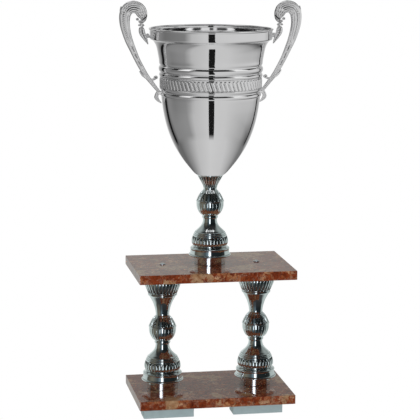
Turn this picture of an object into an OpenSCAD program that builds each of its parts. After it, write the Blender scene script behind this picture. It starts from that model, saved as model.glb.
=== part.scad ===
// Cup trophy on a two-tier stone base.
//
// A spun metal bowl with two cast scroll handles stands on a short riser. The riser and
// the two columns are stacks of hollow castings clamped by threaded rods between the
// stone plates. The origin is the centre of the footprint, on the surface it stands on,
// with +Z up, +X along the plates and the handles, and -Y towards the viewer.

/* [Stone base] */
// Width of both plates, along X
plate_w = 260; // [240:1:300]
// Depth of both plates, along Y
plate_d = 170; // [140:1:200]
// Thickness of the stone slab
plate_t = 15; // [13:0.5:20]
// Height of the foot blocks
foot_h = 15.5; // [8:0.5:20]
// Width of a foot block
foot_w = 83; // [60:1:90]
// Depth of a foot block
foot_d = 33; // [20:1:45]
// Distance of the foot blocks from the front and rear edges
foot_inset = 7; // [3:0.5:20]
// Centre of the left-hand foot blocks
foot_left_x = -81; // [-84:1:-60]
// Centre of the right-hand foot blocks
foot_right_x = 68; // [60:1:84]

/* [Columns and riser] */
// Distance of a column from the middle of the plate
column_x = 79.5; // [60:0.5:90]
// Radius of the plated disc under each stack
plinth_r = 26; // [20:0.5:30]
// Height of the plated disc
plinth_h = 14; // [8:0.5:20]
// Height of the bell-shaped foot casting
bell_h = 67; // [60:1:75]
// Height of the ball casting
knop_h = 44; // [38:1:50]
// Height of the fluted cup at the top of a column
capital_h = 70; // [60:1:80]
// Height of the fluted funnel under the bowl
collar_h = 24.5; // [20:0.5:30]
// Wall of the castings
cast_wall = 2.5; // [1.5:0.1:4]
// Number of flutes round a bell, a ball, a funnel and a cup
flutes = 28; // [16:1:32]

/* [Bowl] */
// Radius of the bowl at its lip
lip_r = 100; // [90:1:110]
// Height of the bowl
bowl_h = 241.25; // [220:0.25:260]
// Thickness of the spun wall
bowl_wall = 1.2; // [0.8:0.1:2]
// Height of the lower edge of the ornamental band above the bowl's bottom
band_z = 142.5; // [138:0.5:146]
// Width of the ornamental band
band_h = 20; // [16:0.5:22]
// Number of slanted ribs round the band
band_ribs = 70; // [40:1:90]

/* [Handles] */
// Depth of a handle's arm, along Y
handle_d = 13; // [9:0.5:16]
// Height of the upper fixing screw above the bowl's bottom
upper_screw_z = 227.5; // [226:0.5:231]
// Height of the lower fixing screw above the bowl's bottom
lower_screw_z = 136.5; // [134:0.5:138]

/* [Fasteners] */
// Radius of the threaded rods
rod_r = 3; // [2.5:0.5:4]
// Radius of the handle screws
screw_r = 2; // [1.5:0.5:2.5]

/* [Hidden] */
$fn = 48;
gap = 0.05;                       // clearance between touching curved pieces
hole_r = rod_r + 0.4;             // clearance hole for a rod
nut_af = 10;                      // hexagon width across flats
nut_h = 5;
washer_r = 7;
washer_t = 1.6;
recess_r = 9;                     // counterbore for a nut and its washer
recess_h = 8.5;
cap_barrel_r = 4;                 // cap nut: sleeve in the plate and low head on it
cap_barrel_h = 10;
cap_head_r = 5;
cap_head_h = 2.2;
screw_head_r = 3.6;
screw_head_h = 2.2;
screw_grip = 7;                   // depth of a screw inside its handle

lower_z = foot_h;                                         // underside of the lower plate
column_z = lower_z + plate_t;                             // foot of the columns
column_h = plinth_h + bell_h + knop_h + capital_h;
upper_z = column_z + column_h;                            // underside of the upper plate
riser_z = upper_z + plate_t;                              // foot of the riser
bowl_z = riser_z + plinth_h + bell_h + knop_h + collar_h; // underside of the bowl
band_r = 83.9;                                            // outside of the band
band_seat_r = 82.6;                                       // groove that holds the band

chrome = "#c9ccd0";
silver = "#d6d6d6";
steel = "#9a9ea3";
stone = "#8a4a3a";
pad = "#b9c2cc";

// ---------- curves ----------

// A point on the smooth curve through b and c, with a and d as its neighbours
function curve_point(a, b, c, d, t) =
    0.5 * (2 * b + (c - a) * t + (2 * a - 5 * b + 4 * c - d) * t * t
           + (3 * b - a - 3 * c + d) * t * t * t);

// A smooth curve through points p, with n steps between two of them
function smooth(p, n) = let (last = len(p) - 1)
    [for (i = [0 : last - 1]) for (k = [0 : n - 1])
        curve_point(p[max(i - 1, 0)], p[i], p[i + 1], p[min(i + 2, last)], k / n),
     p[last]];

function reversed(p) = [for (i = [len(p) - 1 : -1 : 0]) p[i]];

// The direction of an open line of points at point i
function along(p, i) = let (d = p[min(i + 1, len(p) - 1)] - p[max(i - 1, 0)]) d / norm(d);

// A line moved sideways by w[i] at each point, to the left of its direction
function offset_line(p, w) =
    [for (i = [0 : len(p) - 1]) let (d = along(p, i)) p[i] + w[i] * [-d.y, d.x]];

// ---------- profiles, as [radius, height] from the foot of each piece ----------

BELL = [[34.8, 0], [35, 1.2], [34.4, 2.8], [33, 3.6], [32.4, 6], [31.8, 9.5],
        [32, 11.5], [31.3, 13.4], [29.4, 14.6], [28.6, 15.8], [29.8, 17.6], [30.4, 21.5],
        [30.1, 26.5], [28.6, 31], [27.3, 33.2], [26.4, 35.8], [25.2, 38.8], [22.6, 42],
        [18.7, 45.5], [15.6, 49], [13.3, 52.6], [11.9, 56.5], [11.5, 60], [12, 63],
        [13.2, 65.2], [12.6, 67]];
KNOP = [[12.6, 0], [17.2, 4], [20.2, 9], [22, 14.5], [22.5, 20], [22.4, 23.4],
        [23.1, 24.6], [22.3, 25.8], [21.6, 28], [19.4, 32.6], [16.4, 37.6], [11, 44]];
COLLAR = [[11, 0], [11.4, 3.8], [12.8, 8], [15.4, 13], [18.6, 18.6], [21.8, 24.5]];
CAPITAL = [[11.1, 0], [11.4, 3.6], [12.2, 8.8], [13.6, 14], [16, 21], [19.8, 28.4],
           [22.6, 33.2], [23.9, 35.4], [24.2, 37], [25.2, 39.4], [27.6, 45.6],
           [29.8, 51.4], [30.6, 57], [30, 60.6], [31.6, 62.6], [32.6, 66], [33.2, 70]];
BOWL = [[22, 0], [26, 2.8], [32, 9.4], [45.3, 26.3], [58, 46.3], [67, 66.3],
        [73.4, 86.2], [77.7, 106.1], [80.3, 124.5], [81.2, 131.4], [82.2, 133],
        [82.2, 135], [81.4, 137], [82.2, 140.5], [82.6, 142.4]];
BOWL_TOP = [[82.6, 162.6], [83.4, 164.4], [83, 169.6], [84.4, 172], [84.7, 175.6],
            [84.3, 179.6], [83.4, 181.2], [84.4, 183.4], [85, 190], [86.4, 198],
            [88.4, 208], [90.7, 214.6], [94.4, 220.2], [98.8, 223.2], [100, 225]];

// A hollow casting: the outside turned round the axis, a bore through a web at each end
module casting(outside, height, steps = 3) {
    outer = smooth(outside, steps);
    web = 3;
    cavity = [for (p = outer) if (p.y > web && p.y < height - web)
              [max(p.x - cast_wall, hole_r + 0.2), p.y]];
    difference() {
        rotate_extrude() polygon(concat([[0, 0]], outer, [[0, height]]));
        rotate_extrude() polygon(concat([[0, cavity[0].y]], cavity,
                                        [[0, cavity[len(cavity) - 1].y]]));
        translate([0, 0, -1]) cylinder(r = hole_r, h = height + 2);
    }
}

// Straight grooves cut round a casting, between two points of its outline
module fluting(count, from, to, groove_r, depth) {
    reach = to - from;
    tilt = atan2(reach.x, reach.y);
    for (i = [0 : count - 1]) rotate([0, 0, (i + 0.5) * 360 / count])
        translate([from.x + groove_r - depth, 0, from.y]) rotate([0, tilt, 0])
            cylinder(r = groove_r, h = norm(reach), $fn = 24);
}

// ---------- stone base ----------

module plate(z, recess_xs, hole_xs, radius) {
    color(stone) translate([0, 0, z]) difference() {
        translate([-plate_w / 2, -plate_d / 2, 0]) cube([plate_w, plate_d, plate_t]);
        for (x = hole_xs) translate([x, 0, -1]) cylinder(r = radius, h = plate_t + 2);
        for (x = recess_xs) translate([x, 0, -1]) {
            cylinder(r = hole_r, h = plate_t + 2);
            cylinder(r = recess_r, h = recess_h + 1);
        }
    }
}

module lower_plate() { plate(lower_z, [-column_x, column_x], [], 1); }
module upper_plate() { plate(upper_z, [0], [-column_x, column_x], cap_barrel_r + 0.2); }

// A foot block under the lower plate; back is -1 at the front and 1 at the rear
module foot(x, back) {
    y = back * (plate_d / 2 - foot_inset - foot_d / 2);
    color(pad) translate([x - foot_w / 2, y - foot_d / 2, 0]) cube([foot_w, foot_d, foot_h]);
}

module foot_front_left() { foot(foot_left_x, -1); }
module foot_front_right() { foot(foot_right_x, -1); }
module foot_rear_left() { foot(foot_left_x, 1); }
module foot_rear_right() { foot(foot_right_x, 1); }

// ---------- stack of castings ----------

module plinth(x, z) {
    color(chrome) translate([x, 0, z]) difference() {
        cylinder(r = plinth_r, h = plinth_h);
        translate([0, 0, -1]) cylinder(r = hole_r, h = plinth_h + 2);
    }
}

module bell(x, z) {
    color(chrome) translate([x, 0, z]) difference() {
        casting(BELL, bell_h);
        fluting(flutes, [30.9, 16.6], [29.3, 30.6], 2.2, 1.1);
    }
}

module knop(x, z) {
    color(chrome) translate([x, 0, z]) difference() {
        casting(KNOP, knop_h);
        fluting(20, [22, 27.4], [13.4, 41.6], 1.9, 0.9);
    }
}

module capital(x, z) {
    color(chrome) translate([x, 0, z]) difference() {
        casting(CAPITAL, capital_h);
        fluting(flutes, [24.2, 37], [31, 57.5], 2.2, 1.1);
    }
}

module rod(x, z, length) {
    color(steel) translate([x, 0, z]) cylinder(r = rod_r, h = length);
}

module washer(x, z) {
    color(steel) translate([x, 0, z]) difference() {
        cylinder(r = washer_r, h = washer_t);
        translate([0, 0, -1]) cylinder(r = hole_r, h = washer_t + 2);
    }
}

module nut(x, z) {
    color(steel) translate([x, 0, z]) difference() {
        cylinder(d = nut_af / cos(30), h = nut_h, $fn = 6);
        translate([0, 0, -1]) cylinder(r = rod_r + gap, h = nut_h + 2);
    }
}

// A sleeve nut let into the upper plate, with a low domed head on it
module cap_nut(x) {
    blind = 2;
    color(steel) translate([x, 0, riser_z]) difference() {
        union() {
            translate([0, 0, -cap_barrel_h]) cylinder(r = cap_barrel_r, h = cap_barrel_h);
            cylinder(r = cap_head_r, h = cap_head_h / 2);
            translate([0, 0, cap_head_h / 2])
                cylinder(r1 = cap_head_r, r2 = cap_head_r * 0.6, h = cap_head_h / 2);
        }
        translate([0, 0, -cap_barrel_h - 1])
            cylinder(r = rod_r + gap, h = cap_barrel_h + 1 - blind);
    }
}

bell_z = column_z + plinth_h;
knop_z = bell_z + bell_h;
capital_z = knop_z + knop_h;
lower_washer_z = lower_z + recess_h - washer_t;
lower_nut_z = lower_washer_z - nut_h;
column_rod_z = lower_nut_z - 1;
column_rod_top = riser_z - 2.5;

module column_left_plinth() { plinth(-column_x, column_z); }
module column_left_bell() { bell(-column_x, bell_z); }
module column_left_knop() { knop(-column_x, knop_z); }
module column_left_capital() { capital(-column_x, capital_z); }
module column_left_rod() { rod(-column_x, column_rod_z, column_rod_top - column_rod_z); }
module column_right_plinth() { plinth(column_x, column_z); }
module column_right_bell() { bell(column_x, bell_z); }
module column_right_knop() { knop(column_x, knop_z); }
module column_right_capital() { capital(column_x, capital_z); }
module column_right_rod() { rod(column_x, column_rod_z, column_rod_top - column_rod_z); }
module column_cap_nuts() { for (x = [-column_x, column_x]) cap_nut(x); }
module column_washers() { for (x = [-column_x, column_x]) washer(x, lower_washer_z); }
module column_nuts() { for (x = [-column_x, column_x]) nut(x, lower_nut_z); }

// ---------- riser under the bowl ----------

riser_bell_z = riser_z + plinth_h;
riser_knop_z = riser_bell_z + bell_h;
riser_collar_z = riser_knop_z + knop_h;
upper_washer_z = upper_z + recess_h - washer_t;
upper_nut_z = upper_washer_z - nut_h;
bowl_floor_z = bowl_z + bowl_wall;
riser_rod_z = upper_nut_z - 1;
riser_rod_top = bowl_floor_z + washer_t + nut_h + 2;

module riser_plinth() { plinth(0, riser_z); }
module riser_bell() { bell(0, riser_bell_z); }
module riser_knop() { knop(0, riser_knop_z); }

module riser_collar() {
    color(chrome) translate([0, 0, riser_collar_z]) difference() {
        casting(COLLAR, collar_h);
        fluting(20, [13.4, 8.6], [21.6, 23.6], 1.9, 0.8);
    }
}

module riser_rod() { rod(0, riser_rod_z, riser_rod_top - riser_rod_z); }
module riser_washer() { washer(0, upper_washer_z); }
module riser_nut() { nut(0, upper_nut_z); }
module bowl_washer() { washer(0, bowl_floor_z); }
module bowl_nut() { nut(0, bowl_floor_z + washer_t); }

// ---------- bowl ----------

bowl_outer = concat(smooth(BOWL, 3), smooth(BOWL_TOP, 3), [[lip_r, bowl_h - 3]]);
bead_r = 1.8;                     // rolled bead at the lip

// Everything that the bowl and its band fill, grown by a clearance
module bowl_envelope(grow) {
    translate([0, 0, bowl_z]) rotate_extrude() polygon(concat(
        [[0, 0]], [for (p = bowl_outer) [p.x + grow, p.y]], [[lip_r + grow, bowl_h],
        [0, bowl_h]]));
    translate([0, 0, bowl_z + band_z]) cylinder(r = band_r + grow, h = band_h);
}

module bowl() {
    thickness = [for (p = bowl_outer) bowl_wall];
    inner = [for (p = offset_line(bowl_outer, thickness)) if (p.y > bowl_wall) p];
    color(silver) translate([0, 0, bowl_z]) difference() {
        union() {
            rotate_extrude() polygon(concat(
                [[0, 0]], bowl_outer, [[lip_r, bowl_h - bead_r]],
                [[lip_r - bowl_wall, bowl_h - bead_r]], reversed(inner),
                [[inner[0].x - 1.5, bowl_wall], [0, bowl_wall]]));
            translate([0, 0, bowl_h - bead_r]) rotate_extrude()
                translate([lip_r - bowl_wall / 2 + 0.4, 0]) circle(r = bead_r);
        }
        translate([0, 0, -1]) cylinder(r = hole_r, h = 4);
        for (z = [upper_screw_z, lower_screw_z], side = [-1, 1])
            translate([0, 0, z]) rotate([0, side * 90, 0]) translate([0, 0, lip_r - 30])
                cylinder(r = screw_r + 0.2, h = 40);
    }
}

// Strip with slanted ribs that sits in the groove of the bowl
module ornamental_band() {
    lean = 24;
    color(silver) translate([0, 0, bowl_z + band_z]) difference() {
        cylinder(r = band_r, h = band_h, $fn = 240);
        translate([0, 0, -1]) cylinder(r = band_seat_r + gap, h = band_h + 2, $fn = 240);
        for (i = [0 : band_ribs - 1]) rotate([0, 0, (i + 0.5) * 360 / band_ribs])
            translate([band_r + 1.5, 0, band_h / 2]) rotate([lean, 0, 0])
                cylinder(r = 2.1, h = band_h - 5, center = true, $fn = 24);
    }
}

// ---------- handles ----------
// Outlines lie in the XZ plane, as [distance from the bowl's axis, height above its foot]

ARM = [[85.6, 137.6], [95.5, 150], [105, 162.2], [113.6, 176], [121.8, 191.4],
       [129, 207.6], [135.2, 222.4], [139.8, 238], [141.9, 251], [141, 264],
       [135.8, 272.6], [127.4, 275.4], [118.6, 272.4], [114, 264], [113.4, 254]];
ARM_WIDTH = [5, 6.4, 7.6, 8.6, 9.2, 10.8, 12.8, 14.8, 16.8, 18.8, 19.8, 20, 19.4, 18, 12];
LEAF = [[115.4, 254.6], [115, 247], [115.2, 238], [113, 229.6], [108.6, 222.4],
        [105.2, 217]];
LEAF_WIDTH = [7, 9.6, 12, 10.4, 6.4, 1.4];
TAIL = [[86.2, 139], [89.2, 134], [90, 128.6], [86.6, 123.6], [81.8, 119.6]];
TAIL_WIDTH = [5, 6, 6.4, 4.4, 1.4];
SIDE_CURL = [[100.6, 157.6], [95.6, 158], [90.8, 160.8]];
SIDE_CURL_WIDTH = [3.4, 3, 4.2];

// A stroke along a smooth line, as wide as the widths at its points
module stroke(line, widths, steps = 4) {
    path = smooth(line, steps);
    half = [for (v = smooth([for (w = widths) [w / 2, 0]], steps)) v.x];
    polygon(concat(offset_line(path, half), reversed(offset_line(path, -half))));
}

// Round lug between the handle and the bowl's wall, drilled later for a screw
module lug(from_x, to_x, z, r) {
    translate([from_x, 0, z]) rotate([0, 90, 0]) cylinder(r = r, h = to_x - from_x);
}

// A flat outline made into a slab wider than the handle is deep
module slab() {
    rotate([90, 0, 0]) translate([0, 0, -handle_d]) linear_extrude(2 * handle_d) children();
}

// The right-hand handle; the left one is its mirror image
module handle() {
    taper = [[handle_d / 2, 300], [handle_d / 2, 215], [4, 175], [4, 110]];
    difference() {
        translate([0, 0, bowl_z]) union() {
            intersection() {
                union() {
                    slab() stroke(ARM, ARM_WIDTH);
                    slab() stroke(LEAF, LEAF_WIDTH);
                    slab() stroke(TAIL, TAIL_WIDTH);
                    slab() stroke(SIDE_CURL, SIDE_CURL_WIDTH);
                }
                rotate([90, 0, 90]) linear_extrude(200)
                    polygon(concat(taper, [for (p = reversed(taper)) [-p.x, p.y]]));
            }
            lug(lip_r - 2, 112, upper_screw_z, 4);
            lug(80, 87.5, lower_screw_z, 3.6);
        }
        bowl_envelope(gap);
        for (z = [upper_screw_z, lower_screw_z])
            translate([0, 0, bowl_z + z]) rotate([0, 90, 0])
                cylinder(r = screw_r + gap, h = wall_r(z) + screw_grip + 0.5);
    }
}

// Outer radius of the bowl's wall at the height of a screw
function wall_r(z) = z > band_z ? lip_r : 81.6;

module handle_right() { color(silver) handle(); }
module handle_left() { color(silver) mirror([1, 0, 0]) handle(); }

// Cheese-head screws driven from inside the bowl
module handle_screws() {
    color(steel) for (z = [upper_screw_z, lower_screw_z], side = [0, 180])
        translate([0, 0, bowl_z + z]) rotate([0, 90, side]) {
            start = wall_r(z) - bowl_wall - 0.8;
            translate([0, 0, start - screw_head_h])
                cylinder(r = screw_head_r, h = screw_head_h);
            translate([0, 0, start]) cylinder(r = screw_r, h = wall_r(z) + screw_grip - start);
        }
}

lower_plate();
upper_plate();
foot_front_left();
foot_front_right();
foot_rear_left();
foot_rear_right();
column_left_plinth();
column_left_bell();
column_left_knop();
column_left_capital();
column_left_rod();
column_right_plinth();
column_right_bell();
column_right_knop();
column_right_capital();
column_right_rod();
column_cap_nuts();
column_washers();
column_nuts();
riser_plinth();
riser_bell();
riser_knop();
riser_collar();
riser_rod();
riser_washer();
riser_nut();
bowl_washer();
bowl_nut();
bowl();
ornamental_band();
handle_left();
handle_right();
handle_screws();
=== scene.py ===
import math

import bpy
import numpy as np
from mathutils import Matrix, Vector


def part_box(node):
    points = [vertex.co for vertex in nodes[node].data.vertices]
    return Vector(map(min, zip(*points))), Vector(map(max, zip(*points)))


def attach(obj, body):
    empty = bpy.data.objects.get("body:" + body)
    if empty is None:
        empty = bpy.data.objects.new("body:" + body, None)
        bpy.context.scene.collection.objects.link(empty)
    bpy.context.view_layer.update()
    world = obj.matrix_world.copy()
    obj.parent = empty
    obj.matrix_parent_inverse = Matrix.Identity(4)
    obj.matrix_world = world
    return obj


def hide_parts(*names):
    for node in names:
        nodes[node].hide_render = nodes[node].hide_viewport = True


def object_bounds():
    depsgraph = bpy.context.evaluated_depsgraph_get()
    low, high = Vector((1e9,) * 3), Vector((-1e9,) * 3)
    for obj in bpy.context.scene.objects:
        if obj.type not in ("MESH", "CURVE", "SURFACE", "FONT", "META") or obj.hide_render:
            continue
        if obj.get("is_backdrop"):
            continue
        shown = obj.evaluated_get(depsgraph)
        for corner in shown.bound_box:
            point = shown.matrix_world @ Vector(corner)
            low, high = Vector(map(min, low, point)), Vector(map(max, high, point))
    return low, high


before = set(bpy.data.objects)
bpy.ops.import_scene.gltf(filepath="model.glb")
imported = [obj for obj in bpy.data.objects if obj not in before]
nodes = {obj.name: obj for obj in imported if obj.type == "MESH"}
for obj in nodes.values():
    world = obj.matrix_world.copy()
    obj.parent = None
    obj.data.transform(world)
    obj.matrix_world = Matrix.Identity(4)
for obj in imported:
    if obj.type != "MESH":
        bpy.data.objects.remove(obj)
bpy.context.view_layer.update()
scene = bpy.context.scene
MM = 0.001

# ---------- camera ----------

CAMERA_AZIMUTH = math.radians(10.67)      # from the front, towards -X
CAMERA_ELEVATION = math.radians(9.882)
CAMERA_DISTANCE = 2.773
CAMERA_ROLL = 0.00621
CAMERA_AIM = Vector((0, 0, 0.3302))
LENS, SENSOR = 143.3, 36
UP = Vector((0, 0, 1))
TO_CAMERA = Vector((-math.sin(CAMERA_AZIMUTH), -math.cos(CAMERA_AZIMUTH), 0))
RIGHT = Vector((math.cos(CAMERA_AZIMUTH), -math.sin(CAMERA_AZIMUTH), 0))


def add_camera():
    back = (TO_CAMERA * math.cos(CAMERA_ELEVATION) + UP * math.sin(CAMERA_ELEVATION)).normalized()
    up = back.cross(RIGHT)
    right = RIGHT * math.cos(CAMERA_ROLL) + up * math.sin(CAMERA_ROLL)
    up = up * math.cos(CAMERA_ROLL) - RIGHT * math.sin(CAMERA_ROLL)
    data = bpy.data.cameras.new("camera")
    data.lens, data.sensor_width = LENS, SENSOR
    data.clip_start, data.clip_end = 0.05, 100
    camera = bpy.data.objects.new("camera", data)
    turn = Matrix((right, up, back)).transposed().to_4x4()
    camera.matrix_world = Matrix.Translation(CAMERA_AIM + back * CAMERA_DISTANCE) @ turn
    scene.collection.objects.link(camera)
    scene.camera = camera


add_camera()

# ---------- node graphs ----------


class Graph:
    """Short way to write a node tree: each call makes a node and links its inputs."""

    def __init__(self, tree):
        self.tree = tree
        tree.nodes.clear()

    def node(self, kind, settings=None, **inputs):
        made = self.tree.nodes.new("ShaderNode" + kind)
        for key, value in (settings or {}).items():
            setattr(made, key, value)
        for key, value in inputs.items():
            key = key.replace("_", " ")
            socket = made.inputs[int(key[1:])] if key[0] == "i" and key[1:].isdigit() else made.inputs[key]
            self.plug(value, socket)
        return made

    def plug(self, value, socket):
        if isinstance(value, bpy.types.NodeSocket):
            self.tree.links.new(value, socket)
        elif isinstance(value, bpy.types.Node):
            self.tree.links.new(value.outputs[0], socket)
        else:
            socket.default_value = value

    def math(self, operation, a, b=0.0):
        made = self.tree.nodes.new("ShaderNodeMath")
        made.operation = operation
        self.plug(a, made.inputs[0])
        self.plug(b, made.inputs[1])
        return made.outputs[0]

    def ramp(self, factor, stops, interpolation="LINEAR"):
        made = self.tree.nodes.new("ShaderNodeValToRGB")
        made.color_ramp.interpolation = interpolation
        elements = made.color_ramp.elements
        while len(elements) < len(stops):
            elements.new(0.5)
        for element, (place, colour) in zip(elements, stops):
            element.position = place
            element.color = (*colour, 1)
        self.plug(factor, made.inputs[0])
        return made.outputs[0]

    def mix(self, factor, a, b, blend="MIX"):
        made = self.tree.nodes.new("ShaderNodeMix")
        made.data_type = "RGBA"
        made.blend_type = blend
        for value, socket in zip((factor, a, b), (made.inputs[0], made.inputs[6], made.inputs[7])):
            if isinstance(value, tuple) and len(value) == 3:
                value = (*value, 1)
            self.plug(value, socket)
        return made.outputs[2]


def srgb(r, g, b):
    """A colour as it looks on a screen, 0 to 255, in linear light."""
    return tuple(((c / 255 + 0.055) / 1.055) ** 2.4 if c > 10 else c / 3294 for c in (r, g, b))


def grey(v):
    return srgb(v, v, v)


def new_material(name):
    material = bpy.data.materials.new(name)
    material.use_nodes = True
    return material, Graph(material.node_tree)


# ---------- studio ----------


def direction_parts(g, coordinates):
    """Angle round the object from the camera (-1 to 1, minus to the left), and how far the
    direction points to the side, to the camera and up."""
    unit = g.node("VectorMath", {"operation": "NORMALIZE"}, i0=coordinates)
    dots = [g.node("VectorMath", {"operation": "DOT_PRODUCT"}, i0=unit, i1=axis).outputs["Value"]
            for axis in (RIGHT, TO_CAMERA, UP)]
    angle = g.math("DIVIDE", g.math("ARCTAN2", dots[0], dots[1]), math.pi)
    return angle, dots


def ramp_place(g, angle):
    """Place on a colour ramp, 0 to 1, of an angle from -1 to 1."""
    factor = g.math("MULTIPLY_ADD", angle, 0.5)
    factor.node.inputs[2].default_value = 0.5
    return factor


def tones(g, angle, table, interpolation="LINEAR"):
    """A ramp of tones round the object; a table row is degrees, and a grey or a screen colour."""
    stops = [((degrees + 180) / 360, grey(tone) if isinstance(tone, int) else srgb(*tone))
             for degrees, tone in table]
    return g.ramp(ramp_place(g, angle), stops, interpolation)


def between(g, value, low, high):
    return g.math("MULTIPLY", g.math("GREATER_THAN", value, low), g.math("LESS_THAN", value, high))


def rising(g, value, start, end):
    """0 up to start, 1 from end on."""
    return g.node("MapRange", Value=value, From_Min=start, From_Max=end).outputs[0]


def receivers_of(name, pieces):
    group = bpy.data.collections.new(name + "_receivers")
    for piece in pieces:
        group.objects.link(piece)
    return group


def dome(name, radius, receivers, build, *settings):
    """A large see-through shell that only the given pieces mirror."""
    bpy.ops.mesh.primitive_uv_sphere_add(radius=radius, segments=64, ring_count=32, location=(0, 0, 0.3))
    shell = bpy.context.object
    shell.name = name
    material, g = new_material(name)
    coordinates = g.node("TexCoord").outputs["Object"]
    emission = g.node("Emission", Color=build(g, coordinates, *settings))
    both = g.node("AddShader", i0=emission, i1=g.node("BsdfTransparent"))
    g.node("OutputMaterial", Surface=both)
    material.cycles.emission_sampling = "NONE"
    shell.data.materials.append(material)
    shell.visible_camera = shell.visible_diffuse = shell.visible_shadow = False
    shell.light_linking.receiver_collection = receivers_of(name, receivers)
    shell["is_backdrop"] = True


# The studio round the bowl, as screen grey against degrees from the camera's side: a grey wall
# on the left and a white one on the right, and what the bowl's belly mirrors lower down
BOWL_ROOM_HIGH = [(-180, 225), (-152, 162), (-131, 84), (-120, 142), (-96, 112), (-50, 128),
                  (-36, 186), (-12, 204), (118, 209), (148, 160), (180, 225)]
BOWL_ROOM_LOW = [(-180, 222), (-146, 126), (-131, 70), (-114, 132), (-62, 144), (-44, 188), (0, 205),
                 (40, 202), (104, 166), (134, 90), (154, 150), (180, 222)]

# Dark uprights in it: first and last degree, lowest and highest direction, grey
FLAGS = [(-138, -127, -0.5, 0.6, 24), (136, 143, -0.45, 0.6, 40)]

# Its dark ceiling with four soft boxes, from one degree to the next, and a pale patch overhead
CEILING = [(-180, 34), (-172, 230), (-128, 30), (-84, 250), (-52, 28), (58, 240), (96, 32),
           (150, 220), (168, 34)]
ZENITH = 205

# The ring just under the bowl, brightest in front
RING_TONES = [(-180, 170), (-125, 110), (-92, 104), (-62, 146), (-34, 192), (0, 207), (38, 201),
              (76, 162), (100, 120), (132, 118), (180, 170)]


def bowl_room(g, coordinates):
    angle, (_, _, up) = direction_parts(g, coordinates)
    lower = rising(g, up, -0.12, -0.42)
    room = g.mix(lower, tones(g, angle, BOWL_ROOM_HIGH), tones(g, angle, BOWL_ROOM_LOW))
    # the dark post in front, whose right edge leans
    post_edge = g.math("ADD", 7.2 / 180, g.math("MULTIPLY", up, -5 / 180))
    post = g.math("MULTIPLY", between(g, angle, -4.8 / 180, post_edge), between(g, up, -0.76, 0.6))
    room = g.mix(post, room, grey(26))
    for first, last, bottom, top, tone in FLAGS:
        flag = g.math("MULTIPLY", between(g, angle, first / 180, last / 180), between(g, up, bottom, top))
        room = g.mix(flag, room, grey(tone))
    ceiling = g.mix(rising(g, up, 0.9, 0.96), tones(g, angle, CEILING, "CONSTANT"), grey(ZENITH))
    return g.mix(rising(g, up, 0.36, 0.42), room, ceiling)


# The darker room round the castings and the stone, in screen colours: pale behind, brown on the
# left and black on the right
BASE_ROOM = [(-180, (200, 207, 205)), (-172, (212, 219, 217)), (-104, (180, 190, 188)), (-95, (76, 74, 66)),
             (-60, (114, 110, 98)), (-26, (66, 76, 80)), (-12, (112, 130, 140)), (-4, (66, 80, 88)),
             (12, (30, 36, 39)), (70, (28, 33, 33)), (94, (44, 50, 50)), (102, (172, 182, 180)),
             (172, (186, 193, 191)), (180, (200, 207, 205))]

# Straight up and down there, from the camera's side to the far side
STEEP_TONES = [(0.0, grey(40)), (0.5, grey(62)), (0.6, srgb(130, 138, 136)), (0.74, srgb(204, 212, 210))]
UPPER_SHADE = 0.6


def base_room(g, coordinates, lamp, dim):
    """lamp is a lit strip in front: its centre, half width, colour and highest direction."""
    angle, (side, front, up) = direction_parts(g, coordinates)
    behind = g.ramp(ramp_place(g, g.math("MULTIPLY", front, -1.0)), STEEP_TONES)
    room = g.mix(rising(g, g.math("ABSOLUTE", up), 0.5, 0.85), tones(g, angle, BASE_ROOM), behind)
    far = g.node("MapRange", Value=up, From_Min=0.22, From_Max=0.3, To_Min=1.0, To_Max=UPPER_SHADE).outputs[0]
    room = g.node("VectorMath", {"operation": "SCALE"}, i0=room, Scale=g.math("MULTIPLY", far, dim))
    centre, half_width, colour, top = lamp
    across = g.math("ABSOLUTE", g.math("SUBTRACT", side, centre))
    core = rising(g, across, half_width, half_width * 0.15)
    strip = g.math("MULTIPLY", g.math("POWER", core, 2.6), between(g, up, -0.42, top))
    strip = g.math("MULTIPLY", strip, g.math("GREATER_THAN", front, 0.1))
    return g.mix(strip, room, colour)


def add_reflector(inner_r, outer_r, height):
    """A pale ring just under the bowl: the bowl mirrors it, and rays from below pass through it."""
    rings, around = 8, 96
    radii = np.linspace(inner_r, outer_r, rings)
    turn = np.arange(around) * 2 * math.pi / around
    verts = np.stack([radii[:, None] * np.cos(turn), radii[:, None] * np.sin(turn),
                      np.full((rings, around), height)], axis=-1).reshape(-1, 3)
    mesh = bpy.data.meshes.new("bowl_reflector")
    mesh.from_pydata(verts.tolist(), [], [tuple(reversed(f)) for f in loop_faces(rings, around)])
    ring = bpy.data.objects.new("bowl_reflector", mesh)
    scene.collection.objects.link(ring)
    material, g = new_material("bowl_reflector")
    place = g.node("TexCoord").outputs["Object"]
    pale = tones(g, direction_parts(g, place)[0], RING_TONES)
    flat = g.node("VectorMath", {"operation": "MULTIPLY"}, i0=place, i1=(1, 1, 0))
    away = g.node("VectorMath", {"operation": "LENGTH"}, i0=flat).outputs["Value"]
    from_above = g.math("SUBTRACT", 1.0, g.node("NewGeometry").outputs["Backfacing"])
    shown = g.math("MULTIPLY", rising(g, away, outer_r, outer_r * 0.8), from_above)
    g.node("OutputMaterial", Surface=g.node("MixShader", Fac=shown, i1=g.node("BsdfTransparent"),
                                            i2=g.node("Emission", Color=pale)))
    material.cycles.emission_sampling = "NONE"
    ring.data.materials.append(material)
    ring.visible_camera = ring.visible_diffuse = ring.visible_shadow = False
    ring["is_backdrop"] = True


ROOM_LIGHT = 0.42


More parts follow.
